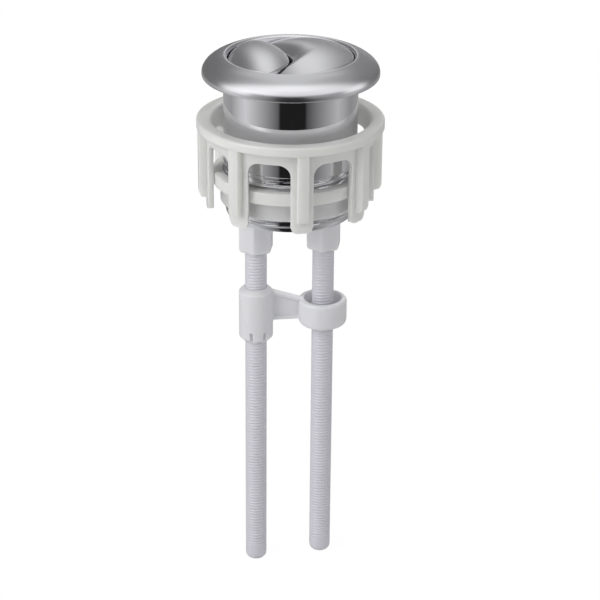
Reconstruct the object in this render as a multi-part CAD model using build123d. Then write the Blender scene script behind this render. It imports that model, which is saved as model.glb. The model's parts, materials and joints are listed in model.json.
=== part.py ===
from build123d import *
import math
import os

# Push button cistern actuator. Millimetres, +Z up, the two rods on the X axis, front towards -Y.
# The origin is the centre of the flange's underside, where it rests on the cistern lid.

# Named clearances
CAP_GAP = 0.4            # button to the round opening
RUNNING_FIT = 0.1        # sliding stems, rods and bushes
SNUG_FIT = 0.05          # collars, screws and seated rings
LOOSE_FIT = 0.2          # nut over the thread crests, sleeves in their hexagonal holes
TINY = 0.01

# Threaded barrel
BARREL_R = 28.5
BARREL_WALL = 1.7
BARREL_LENGTH = 60.0
OPENING_R = BARREL_R - BARREL_WALL
COLLAR_STEP = 5.5
COLLAR_R = BARREL_R + COLLAR_STEP
COLLAR_H = 2.2
GUIDE_LEDGE_Z = -27.0
FOOT_LEDGE_Z = -56.0
LEDGE_W = 1.2
LEDGE_R = OPENING_R - LEDGE_W
BARREL_EDGE = 0.6
THREAD_PITCH = 3.0
THREAD_DEPTH = 0.9
THREAD_BOTTOM_Z = -58.2
THREAD_CREST_W = 0.9
THREAD_ROOT_W = 2.3
THREAD_RIDGES = 7
THREAD_RUNOUT = 0.9
THREAD_TOP_Z = THREAD_BOTTOM_Z + THREAD_RIDGES * THREAD_PITCH + THREAD_RUNOUT
FOOT_WALL = 1.0
FOOT_RECESS_R = BARREL_R - THREAD_DEPTH - FOOT_WALL

# Flange
FLANGE_BORDER = 3.5
FLANGE_R = COLLAR_R + FLANGE_BORDER
FLANGE_FOOT_EDGE = 1.1
FLANGE_FOOT_R = FLANGE_R - FLANGE_FOOT_EDGE
FLANGE_FOOT_H = 1.8
FLANGE_FOOT_SAG = 0.15
FLANGE_CREST_Z = 10.37
FLANGE_CREST_INSET = 7.16
FLANGE_CREST_R = OPENING_R - FLANGE_CREST_INSET
FLANGE_LIP_R = 1.2
FLANGE_WALL = 2.0
CREST_STEPS = 10
CAVITY_W = 4.2
CAVITY_MID_R = OPENING_R + CAVITY_W
CAVITY_TOP_Z = 6.4
CAVITY_SHOULDER_Z = 4.6

# Buttons
CAP_R = OPENING_R - CAP_GAP
CAP_WALL = 1.5
SKIRT_Z = 1.5
LENS_R = 30.6
LENS_X = -31.6
LENS_EDGE_X = LENS_X + LENS_R
LARGE_EDGE_R = 29.3
BUTTON_GAP = 1.4
LARGE_EDGE_X = LENS_EDGE_X + BUTTON_GAP - LARGE_EDGE_R
SMALL_CROWN_Z = 10.9
SMALL_CROWN_X = -13.5
SMALL_CROWN_RX = 27.0
SMALL_CROWN_RY = 162.0
CROWN_SWING = 15.0
LARGE_CROWN_Z = 11.2
LARGE_CROWN_R = 174.0
VALLEY_R = 15.0
VALLEY_X = -5.8
VALLEY_Y = -5.1
VALLEY_BOTTOM_Z = 7.8
VALLEY_TURN = 56.5
VALLEY_RISE = 5.0
VALLEY_LENGTH = 100.0
CAP_BOSS_R = 2.8
CAP_BOSS_ROOF = 1.6
CAP_SCREW_HOLE_Z = LARGE_CROWN_Z - 2 * CAP_WALL - CAP_BOSS_ROOF

# Rods and what slides with them
ROD_INSET = 12.0
ROD_X = OPENING_R - ROD_INSET
ROD_R = 4.75
ROD_TOP_Z = -58.0
SMALL_TIP_Z = -232.5
LARGE_TIP_Z = -230.4
TIP_ROUND = 2.8
LEAD_IN_LENGTH = 5.0
THREAD_GROOVE_W = 1.0
THREAD_GROOVE_DEPTH = 0.3
STEM_R = 4.4
STEM_END_Z = -42.0
CARRIER_T = 2.0
SLEEVE_CORNER_R = 8.0
SLEEVE_TURN = -75.0
SLEEVE_TOP_Z = -34.2
SLEEVE_BOTTOM_Z = -78.7
SLEEVE_EDGE = 0.8
SLEEVE_EDGE_H = 1.0
SLEEVE_BLOCK = 20.0
CARRIER_GAP = 0.15
SLEEVE_WEB = 2.0

# Guide body and base
GUIDE_FLOOR_T = 3.0
GUIDE_WALL = 1.5
GUIDE_TOP_Z = -10.0
BUSH_R = 6.2
BUSH_TOP_Z = -6.3
BUSH_BOTTOM_Z = -34.0
POST_R = 3.0
POST_INSET = 7.8
POST_Y = OPENING_R - POST_INSET
BASE_T = 3.0

# Springs
SPRING_R = 7.3
WIRE_R = 0.5
SPRING_TURNS = 7
SPRING_END_GAP = 0.05

# Screws
SCREW_HEAD_R = 2.6
SCREW_HEAD_H = 1.6
SCREW_R = 1.25
CAP_SCREW_Y = 12.0
LARGE_SCREW_INSET = 2.3
LARGE_SCREW_X = ROD_X - LARGE_SCREW_INSET
LARGE_SCREW_Y = 14.0
SLEEVE_SCREW_HEAD_R = 3.5
SLEEVE_SCREW_HEAD_H = 2.2
SLEEVE_SCREW_R = 1.75
SLEEVE_SCREW_END_Z = -32.0
BASE_SCREW_R = 1.5
BASE_SCREW_END_Z = -46.0
SOCKET_R = 1.2
SOCKET_DEPTH = 0.9

# Rod link
LINK_COLLAR_R = 7.4
LINK_TOP_Z = -95.6
LINK_BOTTOM_Z = -121.4
LINK_CHAMFER = 2.3
LINK_SLOT_X = 3.0
LINK_SLOT_W = 1.0
LINK_SLOT_TOP_Z = -114.2
RING_R = 10.65
RING_BORE_R = 8.4
RING_TOP_Z = -102.8
RING_BOTTOM_Z = -115.0
RING_TOP_ROUND = 1.5
RING_BOTTOM_ROUND = 1.9
ARM_LEFT_TOP_Z = -95.8
ARM_BOTTOM_Z = -111.7
ARM_DEPTH = 4.4
ARM_WEB_T = 1.8
ARM_RIB_T = 1.4

# Lock nut
LEG_COUNT = 8
CAGE_SPACE = 5.0
CAGE_WALL = 2.5
RIM_BORDER = 3.95
CAGE_INNER_R = BARREL_R + CAGE_SPACE
CAGE_R = CAGE_INNER_R + CAGE_WALL
RIM_R = CAGE_R + RIM_BORDER
RIM_TOP_Z = -18.2
RIM_BOTTOM_Z = -22.4
RIM_INNER_ROUND = 1.9
RIM_OUTER_ROUND = 1.0
RIM_FOOT_EDGE = 0.6
WINDOW_TOP_Z = -27.2
WINDOW_ROUND = 5.2
LEG_W = 8.6
LEG_BOTTOM_Z = -57.3
LEG_ROUND = 2.5
RIB_W = 4.75
RIB_DEPTH = 3.4
RIB_R = CAGE_R + RIB_DEPTH
RIB_BOTTOM_Z = -52.4
RIB_SLOPE = 2.5
CAGE_BITE = 0.8
HUB_INSET = 0.45
HUB_R = CAGE_INNER_R - HUB_INSET
HUB_TOP_Z = -41.1
HUB_BOTTOM_Z = -46.3
HUB_WEB_W = 6.0
HUB_COLLAR_WALL = 1.4
HUB_COLLAR_R = BARREL_R + HUB_COLLAR_WALL
HUB_COLLAR_Z = -54.35

SIDES = 6
HALF = 0.5
FULL_TURN = 360.0
QUARTER_TURN = 90.0


def cylinder(radius, low, high, x=0.0, y=0.0):
    """Upright cylinder between two heights."""
    middle = (low + high) * HALF
    return Pos(x, y, middle) * Cylinder(radius, high - low)


def block(width, depth, low, high, x=0.0, y=0.0):
    """Upright block between two heights."""
    middle = (low + high) * HALF
    return Pos(x, y, middle) * Box(width, depth, high - low)


def hexagon(corner_r, low, high, x=0.0):
    """Hexagonal prism turned like the sleeves."""
    sketch = Rot(0, 0, SLEEVE_TURN) * RegularPolygon(corner_r, SIDES)
    return Pos(x, 0, low) * extrude(sketch, high - low)


def turned(points):
    """Solid of revolution about Z from corners given as (radius, height)."""
    outline = Polyline(*[(r, 0, z) for r, z in points], close=True)
    return revolve(make_face(outline), Axis.Z)


def outlined(pieces):
    """Solid of revolution about Z from a chain of lines and arcs."""
    edges = [edge for piece in pieces for edge in piece.edges()]
    return revolve(make_face(Wire(edges)), Axis.Z)


def on_rods(build):
    """The same feature at both rods."""
    return build(-ROD_X) + build(ROD_X)


def bezel_ring():
    lip_z = crest_height(OPENING_R + FLANGE_LIP_R) - FLANGE_LIP_R
    edge = [crest_point(i) for i in range(CREST_STEPS + 1)]
    lip_end = edge[-1]
    lip_mid = (
        OPENING_R + FLANGE_LIP_R * (1 - math.sqrt(HALF)),
        0,
        lip_z + FLANGE_LIP_R * math.sqrt(HALF),
    )
    foot_mid = (FLANGE_R - FLANGE_FOOT_SAG, 0, FLANGE_FOOT_H * HALF - FLANGE_FOOT_SAG)
    recess_r = COLLAR_R + SNUG_FIT
    sides = [
        Line((recess_r, 0, 0), (FLANGE_FOOT_R, 0, 0)),
        ThreePointArc((FLANGE_FOOT_R, 0, 0), foot_mid, (FLANGE_R, 0, FLANGE_FOOT_H)),
        Spline(*edge, tangents=[(0, 0, 1), crest_slope(OPENING_R + FLANGE_LIP_R)]),
        ThreePointArc(lip_end, lip_mid, (OPENING_R, 0, lip_z)),
        Polyline(
            (OPENING_R, 0, lip_z),
            (OPENING_R, 0, COLLAR_H),
            (OPENING_R + FLANGE_WALL, 0, COLLAR_H),
            (OPENING_R + FLANGE_WALL, 0, CAVITY_TOP_Z),
            (CAVITY_MID_R, 0, CAVITY_TOP_Z),
            (COLLAR_R - TINY, 0, CAVITY_SHOULDER_Z),
            (COLLAR_R - TINY, 0, COLLAR_H),
            (recess_r, 0, COLLAR_H),
            (recess_r, 0, 0),
        ),
    ]
    return outlined(sides)


def crest_height(radius):
    """Height of the flange's elliptical crown at a radius."""
    share = (radius - FLANGE_CREST_R) / (FLANGE_R - FLANGE_CREST_R)
    return FLANGE_FOOT_H + (FLANGE_CREST_Z - FLANGE_FOOT_H) * math.sqrt(1 - share * share)


def crest_slope(radius):
    """Direction of the crown towards the opening."""
    rise = crest_height(radius - TINY) - crest_height(radius)
    return (-TINY, 0, rise)


def crest_point(index):
    """Point of the crown, index 0 at the flange's widest edge."""
    start = (OPENING_R + FLANGE_LIP_R - FLANGE_CREST_R) / (FLANGE_R - FLANGE_CREST_R)
    angle = math.acos(start) * index / CREST_STEPS
    radius = FLANGE_CREST_R + (FLANGE_R - FLANGE_CREST_R) * math.cos(angle)
    return (radius, 0, crest_height(radius))


def thread_ridges():
    """Corners of the coarse ridges, from the lowest one up."""
    root_r = BARREL_R - THREAD_DEPTH
    half_root = THREAD_ROOT_W * HALF
    half_crest = THREAD_CREST_W * HALF
    corners = []
    for index in range(THREAD_RIDGES):
        middle = THREAD_BOTTOM_Z + half_root + index * THREAD_PITCH
        corners += [
            (root_r, middle - half_root),
            (BARREL_R, middle - half_crest),
            (BARREL_R, middle + half_crest),
            (root_r, middle + half_root),
        ]
    return corners


def threaded_barrel():
    root_r = BARREL_R - THREAD_DEPTH
    return turned([
        (OPENING_R, COLLAR_H),
        (OPENING_R, GUIDE_LEDGE_Z),
        (LEDGE_R, GUIDE_LEDGE_Z),
        (LEDGE_R, FOOT_LEDGE_Z),
        (FOOT_RECESS_R, FOOT_LEDGE_Z),
        (FOOT_RECESS_R, -BARREL_LENGTH),
        (root_r - BARREL_EDGE * HALF, -BARREL_LENGTH),
        (root_r, -BARREL_LENGTH + BARREL_EDGE),
        *thread_ridges(),
        (root_r, THREAD_TOP_Z),
        (BARREL_R, THREAD_TOP_Z + THREAD_DEPTH),
        (BARREL_R, 0),
        (COLLAR_R, 0),
        (COLLAR_R, COLLAR_H),
    ])


def lens_plan(inset):
    """Leaf-shaped outline of the small button."""
    return Circle(CAP_R - inset) & Pos(LENS_X, 0) * Circle(LENS_R - inset)


def large_plan(inset):
    """The rest of the round opening."""
    return Circle(CAP_R - inset) - Pos(LARGE_EDGE_X, 0) * Circle(LARGE_EDGE_R + inset)


def small_crown(inset):
    """Dome that is round across the leaf and flatter along it."""
    low = SMALL_CROWN_Z - SMALL_CROWN_RX
    centre = (SMALL_CROWN_X, 0, low)
    disc = Pos(*centre) * Rot(QUARTER_TURN, 0, 0) * Circle(SMALL_CROWN_RX - inset)
    spine = Axis((0, 0, SMALL_CROWN_Z - SMALL_CROWN_RY), (1, 0, 0))
    back = disc.rotate(spine, -CROWN_SWING)
    return revolve(back, spine, 2 * CROWN_SWING)


def small_solid(inset, low):
    plan = Pos(0, 0, low) * lens_plan(inset)
    return extrude(plan, SMALL_CROWN_Z - low) & small_crown(inset)


def valley(extra):
    """Cylinder that scoops the valley into the large button."""
    axis_z = VALLEY_BOTTOM_Z + VALLEY_R
    turn = Rot(0, 0, VALLEY_TURN) * Rot(0, QUARTER_TURN - VALLEY_RISE, 0)
    return Pos(VALLEY_X, VALLEY_Y, axis_z) * turn * Cylinder(VALLEY_R + extra, VALLEY_LENGTH)


def large_solid(inset, low):
    plan = Pos(0, 0, low) * large_plan(inset)
    ball = Pos(0, 0, LARGE_CROWN_Z - LARGE_CROWN_R) * Sphere(LARGE_CROWN_R - inset)
    return (extrude(plan, LARGE_CROWN_Z - low) & ball) - valley(inset)


def cap(form, spots):
    """Domed shell with screw bosses under its ceiling."""
    carrier_top = SKIRT_Z + CARRIER_T
    shell = form(0, SKIRT_Z) - form(CAP_WALL, SKIRT_Z - TINY)
    for x, y in spots:
        boss = cylinder(CAP_BOSS_R, carrier_top, LARGE_CROWN_Z, x, y)
        shell = shell + (boss & form(CAP_WALL * HALF, SKIRT_Z))
    for x, y in spots:
        hole = cylinder(SCREW_R + SNUG_FIT, carrier_top, CAP_SCREW_HOLE_Z, x, y)
        shell = shell - hole
    return shell


SMALL_SPOTS = [(SMALL_CROWN_X, CAP_SCREW_Y), (SMALL_CROWN_X, -CAP_SCREW_Y)]
LARGE_SPOTS = [(LARGE_SCREW_X, LARGE_SCREW_Y), (LARGE_SCREW_X, -LARGE_SCREW_Y)]


def carrier(plan, x, spots):
    """Plate inside a cap's skirt with the stem that carries the sleeve."""
    plate = extrude(Pos(0, 0, SKIRT_Z) * plan(CAP_WALL + CARRIER_GAP), CARRIER_T)
    body = plate + cylinder(STEM_R, STEM_END_Z, SKIRT_Z + TINY, x)
    for sx, sy in spots:
        body = body - cylinder(SCREW_R + SNUG_FIT, SKIRT_Z, SKIRT_Z + CARRIER_T, sx, sy)
    return body - cylinder(SLEEVE_SCREW_R + SNUG_FIT, STEM_END_Z, SLEEVE_SCREW_END_Z, x)


def screw(head_r, head_h, shank_r, seat_z, end_z, x, y):
    """Round-headed screw driven upwards, head below its seat."""
    body = cylinder(head_r, seat_z - head_h, seat_z, x, y) + cylinder(shank_r, seat_z, end_z, x, y)
    return body - hexagonal_socket(seat_z - head_h, x, y)


def hexagonal_socket(low, x, y):
    sketch = RegularPolygon(SOCKET_R, SIDES)
    return Pos(x, y, low) * extrude(sketch, SOCKET_DEPTH)


def cap_screws(spots):
    end_z = CAP_SCREW_HOLE_Z - LOOSE_FIT
    first, second = [screw(SCREW_HEAD_R, SCREW_HEAD_H, SCREW_R, SKIRT_Z, end_z, x, y) for x, y in spots]
    return first + second


def sleeve(x):
    """Hexagonal sleeve: stem socket above, long rod socket below."""
    body = hexagon(SLEEVE_CORNER_R, SLEEVE_BOTTOM_Z, SLEEVE_TOP_Z, x)
    edge_top = SLEEVE_BOTTOM_Z + SLEEVE_EDGE_H
    cone = Cone(SLEEVE_CORNER_R - SLEEVE_EDGE, SLEEVE_CORNER_R, SLEEVE_EDGE_H)
    low_end = body & (Pos(x, 0, edge_top - SLEEVE_EDGE_H * HALF) * cone)
    body = body - block(SLEEVE_BLOCK, SLEEVE_BLOCK, SLEEVE_BOTTOM_Z, edge_top, x)
    body = body + low_end
    body = body - cylinder(STEM_R + SNUG_FIT, STEM_END_Z, SLEEVE_TOP_Z, x)
    body = body - cylinder(ROD_R + RUNNING_FIT, SLEEVE_BOTTOM_Z, STEM_END_Z - SLEEVE_WEB, x)
    return body - cylinder(SLEEVE_SCREW_R + LOOSE_FIT, STEM_END_Z - SLEEVE_WEB, STEM_END_Z, x)


def sleeve_screw(x):
    seat = STEM_END_Z - SLEEVE_WEB
    return screw(
        SLEEVE_SCREW_HEAD_R, SLEEVE_SCREW_HEAD_H, SLEEVE_SCREW_R, seat, SLEEVE_SCREW_END_Z - LOOSE_FIT, x, 0
    )


def rod(x, tip_z):
    """Push rod with a rounded tip, a plain end and the groove where its thread runs out."""
    body = cylinder(ROD_R, tip_z, ROD_TOP_Z, x)
    low_edge = body.edges().group_by(Axis.Z)[0]
    body = fillet(low_edge, TIP_ROUND)
    groove_low = tip_z + TIP_ROUND + LEAD_IN_LENGTH
    groove_high = groove_low + THREAD_GROOVE_W
    wide = cylinder(ROD_R + TIP_ROUND, groove_low, groove_high, x)
    return body - (wide - cylinder(ROD_R - THREAD_GROOVE_DEPTH, groove_low, groove_high, x))


def spring(x):
    """Open coil round a guide bush, from the guide floor to the carrier."""
    low = GUIDE_LEDGE_Z + GUIDE_FLOOR_T + WIRE_R + SPRING_END_GAP
    high = SKIRT_Z - WIRE_R - SPRING_END_GAP
    height = high - low
    path = Helix(height / SPRING_TURNS, height, SPRING_R)
    start = Plane(origin=path @ 0, z_dir=path % 0)
    return Pos(x, 0, low) * sweep(start * Circle(WIRE_R), path, is_frenet=True)


def guide_body():
    floor_top = GUIDE_LEDGE_Z + GUIDE_FLOOR_T
    outer = OPENING_R - RUNNING_FIT
    body = cylinder(outer, GUIDE_LEDGE_Z, GUIDE_TOP_Z)
    body = body - cylinder(outer - GUIDE_WALL, floor_top, GUIDE_TOP_Z)
    body = body + on_rods(lambda x: cylinder(BUSH_R, BUSH_BOTTOM_Z, BUSH_TOP_Z, x))
    for y in (-POST_Y, POST_Y):
        body = body + cylinder(POST_R, FOOT_LEDGE_Z, GUIDE_LEDGE_Z + TINY, 0, y)
        body = body - cylinder(BASE_SCREW_R + SNUG_FIT, FOOT_LEDGE_Z, BASE_SCREW_END_Z, 0, y)
    return body - on_rods(lambda x: cylinder(STEM_R + RUNNING_FIT, BUSH_BOTTOM_Z, BUSH_TOP_Z, x))


def guide_base():
    low = FOOT_LEDGE_Z - BASE_T
    body = cylinder(FOOT_RECESS_R - RUNNING_FIT, low, FOOT_LEDGE_Z)
    hole_r = SLEEVE_CORNER_R + LOOSE_FIT / math.cos(math.pi / SIDES)
    body = body - on_rods(lambda x: hexagon(hole_r, low, FOOT_LEDGE_Z, x))
    for y in (-POST_Y, POST_Y):
        body = body - cylinder(BASE_SCREW_R + SNUG_FIT, low, FOOT_LEDGE_Z, 0, y)
    return body


def base_screws():
    seat = FOOT_LEDGE_Z - BASE_T
    end_z = BASE_SCREW_END_Z - LOOSE_FIT
    rows = (-POST_Y, POST_Y)
    front, back = [screw(SCREW_HEAD_R, SCREW_HEAD_H, BASE_SCREW_R, seat, end_z, 0, y) for y in rows]
    return front + back


def link_arm():
    """Web with a thin rib along its top and bottom edges, from collar to ring."""
    left = -ROD_X
    right = ROD_X - RING_BORE_R
    outline = Polyline(
        (left, 0, ARM_LEFT_TOP_Z),
        (right, 0, RING_TOP_Z),
        (right, 0, ARM_BOTTOM_Z),
        (left, 0, ARM_BOTTOM_Z),
        close=True,
    )
    full = extrude(make_face(outline), ARM_DEPTH * HALF, both=True)
    pocket_left = left + ROD_R
    pocket_right = ROD_X - (RING_R + RING_BORE_R) * HALF
    pocket_line = Polyline(
        (pocket_left, 0, ARM_LEFT_TOP_Z - 2 * ARM_RIB_T),
        (pocket_right, 0, RING_TOP_Z - ARM_RIB_T),
        (pocket_right, 0, ARM_BOTTOM_Z + ARM_RIB_T),
        (pocket_left, 0, ARM_BOTTOM_Z + ARM_RIB_T),
        close=True,
    )
    pocket = extrude(make_face(pocket_line), ARM_DEPTH, both=True)
    web = block(2 * FLANGE_R, ARM_WEB_T, LINK_BOTTOM_Z, LINK_TOP_Z)
    return full - (pocket - web)


def rod_link():
    collar = cylinder(LINK_COLLAR_R, LINK_BOTTOM_Z, LINK_TOP_Z, -ROD_X)
    ends = collar.edges().filter_by(GeomType.CIRCLE)
    collar = chamfer(ends, LINK_CHAMFER)
    ring = cylinder(RING_R, RING_BOTTOM_Z, RING_TOP_Z, ROD_X)
    rims = ring.edges().filter_by(GeomType.CIRCLE).sort_by(Axis.Z)
    ring = fillet(rims[-1], RING_TOP_ROUND)
    ring = fillet(ring.edges().filter_by(GeomType.CIRCLE).sort_by(Axis.Z)[0], RING_BOTTOM_ROUND)
    body = collar + ring + link_arm()
    body = body - cylinder(RING_BORE_R, RING_BOTTOM_Z, RING_TOP_Z, ROD_X)
    body = body - cylinder(ROD_R + SNUG_FIT, LINK_BOTTOM_Z, LINK_TOP_Z, -ROD_X)
    for side in (-1, 1):
        x = -ROD_X + side * LINK_SLOT_X
        body = body - block(LINK_SLOT_W, 2 * ROD_X, LINK_BOTTOM_Z, LINK_SLOT_TOP_Z, x)
    return body


def leg_plate(width, near, far, low, high, angle):
    """Radial block of one leg, between two radii."""
    middle = (near + far) * HALF
    return Rot(0, 0, angle) * block(width, far - near, low, high, 0, -middle)


def cage_rib(angle):
    """Outer rib of a leg and the short web that joins the leg to the hub."""
    near = (CAGE_INNER_R + CAGE_R) * HALF
    outline = Polyline(
        (0, -near, RIM_BOTTOM_Z + RIM_FOOT_EDGE),
        (0, -RIB_R, RIM_BOTTOM_Z + RIM_FOOT_EDGE),
        (0, -RIB_R, RIB_BOTTOM_Z + RIB_SLOPE),
        (0, -RIB_R + RIB_DEPTH * HALF * HALF, RIB_BOTTOM_Z + RIB_SLOPE * HALF * HALF),
        (0, -CAGE_R, RIB_BOTTOM_Z),
        (0, -near, RIB_BOTTOM_Z),
        close=True,
    )
    rib = extrude(make_face(outline), RIB_W * HALF, both=True)
    web = leg_plate(HUB_WEB_W, HUB_R - CAGE_BITE, CAGE_INNER_R + CAGE_BITE, HUB_BOTTOM_Z, HUB_TOP_Z, 0)
    return Rot(0, 0, angle) * (rib + web)


def cage_window(angle):
    """Opening between two legs, with round upper corners."""
    half_step = math.radians(FULL_TURN / LEG_COUNT * HALF)
    middle_r = (CAGE_INNER_R + CAGE_R) * HALF
    leg_angle = math.asin(LEG_W * HALF / middle_r)
    wide = 2 * middle_r * math.sin(half_step - leg_angle)
    opening = block(wide, CAGE_R, LEG_BOTTOM_Z - CAGE_BITE, WINDOW_TOP_Z, 0, -CAGE_R)
    top_edges = opening.edges().filter_by(Axis.Y).group_by(Axis.Z)[-1]
    return Rot(0, 0, angle + math.degrees(half_step)) * fillet(top_edges, WINDOW_ROUND)


def leg_end(angle):
    """What is taken off the two lower corners of a leg."""
    near = CAGE_INNER_R - CAGE_BITE
    far = CAGE_R + CAGE_BITE
    keep_w = LEG_W + CAGE_BITE * HALF
    waste_w = LEG_W + 2 * CAGE_BITE
    keep_top = LEG_BOTTOM_Z + 2 * LEG_ROUND
    keep = leg_plate(keep_w, near - CAGE_BITE, far + CAGE_BITE, LEG_BOTTOM_Z - TINY, keep_top, 0)
    keep = fillet(keep.edges().filter_by(Axis.Y).group_by(Axis.Z)[0], LEG_ROUND)
    waste = leg_plate(waste_w, near, far, LEG_BOTTOM_Z - CAGE_BITE, LEG_BOTTOM_Z + LEG_ROUND, 0)
    return Rot(0, 0, angle) * (waste - keep)


def nut_rim():
    """Flat clamping rim and the tubular wall below it."""
    top = RIM_TOP_Z
    arc = math.sqrt(HALF)
    inner = CAGE_INNER_R + RIM_INNER_ROUND
    outer = RIM_R - RIM_OUTER_ROUND
    sides = [
        ThreePointArc(
            (CAGE_INNER_R, 0, top - RIM_INNER_ROUND),
            (inner - RIM_INNER_ROUND * arc, 0, top - RIM_INNER_ROUND + RIM_INNER_ROUND * arc),
            (inner, 0, top),
        ),
        Line((inner, 0, top), (outer, 0, top)),
        ThreePointArc(
            (outer, 0, top),
            (outer + RIM_OUTER_ROUND * arc, 0, top - RIM_OUTER_ROUND + RIM_OUTER_ROUND * arc),
            (RIM_R, 0, top - RIM_OUTER_ROUND),
        ),
        Polyline(
            (RIM_R, 0, top - RIM_OUTER_ROUND),
            (RIM_R, 0, RIM_BOTTOM_Z + RIM_FOOT_EDGE),
            (RIM_R - RIM_FOOT_EDGE, 0, RIM_BOTTOM_Z),
            (CAGE_R, 0, RIM_BOTTOM_Z),
            (CAGE_R, 0, LEG_BOTTOM_Z),
            (CAGE_INNER_R, 0, LEG_BOTTOM_Z),
            (CAGE_INNER_R, 0, top - RIM_INNER_ROUND),
        ),
    ]
    return outlined(sides)


def lock_nut():
    bore = BARREL_R + LOOSE_FIT
    angles = [index * FULL_TURN / LEG_COUNT for index in range(LEG_COUNT)]
    body = nut_rim()
    for angle in angles:
        body = body - cage_window(angle)
    for angle in angles:
        body = body - leg_end(angle)
    hub = cylinder(HUB_R, HUB_BOTTOM_Z, HUB_TOP_Z) + cylinder(HUB_COLLAR_R, HUB_COLLAR_Z, HUB_BOTTOM_Z)
    for angle in angles:
        body = body + cage_rib(angle)
    return (body + hub) - cylinder(bore, HUB_COLLAR_Z, HUB_TOP_Z)


PARTS = {
    "bezel_ring": bezel_ring,
    "threaded_barrel": threaded_barrel,
    "guide_body": guide_body,
    "guide_base": guide_base,
    "base_screws": base_screws,
    "small_button": lambda: cap(small_solid, SMALL_SPOTS),
    "large_button": lambda: cap(large_solid, LARGE_SPOTS),
    "small_carrier": lambda: carrier(lens_plan, -ROD_X, SMALL_SPOTS),
    "large_carrier": lambda: carrier(large_plan, ROD_X, LARGE_SPOTS),
    "small_cap_screws": lambda: cap_screws(SMALL_SPOTS),
    "large_cap_screws": lambda: cap_screws(LARGE_SPOTS),
    "small_sleeve": lambda: sleeve(-ROD_X),
    "large_sleeve": lambda: sleeve(ROD_X),
    "small_sleeve_screw": lambda: sleeve_screw(-ROD_X),
    "large_sleeve_screw": lambda: sleeve_screw(ROD_X),
    "small_spring": lambda: spring(-ROD_X),
    "large_spring": lambda: spring(ROD_X),
    "small_rod": lambda: rod(-ROD_X, SMALL_TIP_Z),
    "large_rod": lambda: rod(ROD_X, LARGE_TIP_Z),
    "rod_link": rod_link,
    "lock_nut": lock_nut,
}

os.makedirs("parts", exist_ok=True)
for name, build in PARTS.items():
    solid = build()
    solid.label = name
    export_step(solid, "parts/" + name + ".step")
    box = solid.bounding_box()
    print(name, "valid", solid.is_valid, "solids", len(solid.solids()), "volume", round(solid.volume, 1),
          "z", round(box.min.Z, 2), round(box.max.Z, 2))
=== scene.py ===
# %% [markdown]
# Push button cistern actuator, dressed in Blender.
# The real object is a dual flush button: a satin chrome flange with two buttons, a bright threaded
# barrel, a milky cage nut that clamps it to the cistern lid, and two long push rods with a link.
# The CAD model is loaded first as a fixed frame. Every new piece is measured from it, so that
# nothing has to be fitted by eye.

# %% Load the frame
import json
import math
import bpy
import bmesh
from mathutils import Matrix, Vector


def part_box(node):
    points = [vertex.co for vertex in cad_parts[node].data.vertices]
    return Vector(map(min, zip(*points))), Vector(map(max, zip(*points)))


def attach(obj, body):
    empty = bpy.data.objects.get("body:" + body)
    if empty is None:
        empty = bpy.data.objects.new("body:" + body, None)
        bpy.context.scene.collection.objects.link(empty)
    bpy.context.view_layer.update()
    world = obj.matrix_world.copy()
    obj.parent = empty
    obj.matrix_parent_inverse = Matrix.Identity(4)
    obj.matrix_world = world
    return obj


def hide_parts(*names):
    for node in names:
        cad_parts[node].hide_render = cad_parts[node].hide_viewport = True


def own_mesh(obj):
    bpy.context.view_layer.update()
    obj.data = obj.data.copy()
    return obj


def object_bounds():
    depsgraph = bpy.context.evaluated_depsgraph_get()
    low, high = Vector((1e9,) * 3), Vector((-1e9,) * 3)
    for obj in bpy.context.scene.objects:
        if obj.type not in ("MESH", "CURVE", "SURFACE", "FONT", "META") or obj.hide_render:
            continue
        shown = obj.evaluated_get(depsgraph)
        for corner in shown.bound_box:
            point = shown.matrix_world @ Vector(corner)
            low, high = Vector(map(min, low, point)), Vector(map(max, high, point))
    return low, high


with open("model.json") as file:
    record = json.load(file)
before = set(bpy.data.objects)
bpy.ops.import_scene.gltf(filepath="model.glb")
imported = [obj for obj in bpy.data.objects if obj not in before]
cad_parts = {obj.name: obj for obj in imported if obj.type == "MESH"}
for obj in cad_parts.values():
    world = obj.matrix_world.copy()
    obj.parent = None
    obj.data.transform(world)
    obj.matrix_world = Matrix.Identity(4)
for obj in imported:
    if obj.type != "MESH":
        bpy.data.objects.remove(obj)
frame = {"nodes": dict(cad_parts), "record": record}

cad_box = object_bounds()
MM = 0.001
print("CAD box", cad_box)

# %% [markdown]
# Shader maths reads best as plain Python. A small class wraps a socket, and its operators add the
# Math nodes. One method of the material's own maker adds any other node, so that each finish below
# is a few short lines.

# %% Shader helper
class Wire:
    """A shader socket that can be added, multiplied and compared like a number."""

    def __init__(self, maker, socket):
        self.maker = maker
        self.socket = socket

    def math(self, operation, first, second):
        return self.maker.node("ShaderNodeMath", {"operation": operation}, {0: first, 1: second})

    def __add__(self, other):
        return self.math("ADD", self, other)

    def __radd__(self, other):
        return self.math("ADD", other, self)

    def __sub__(self, other):
        return self.math("SUBTRACT", self, other)

    def __rsub__(self, other):
        return self.math("SUBTRACT", other, self)

    def __mul__(self, other):
        return self.math("MULTIPLY", self, other)

    def __rmul__(self, other):
        return self.math("MULTIPLY", other, self)

    def __truediv__(self, other):
        return self.math("DIVIDE", self, other)

    def __abs__(self):
        return self.maker.node("ShaderNodeMath", {"operation": "ABSOLUTE"}, {0: self})


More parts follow.
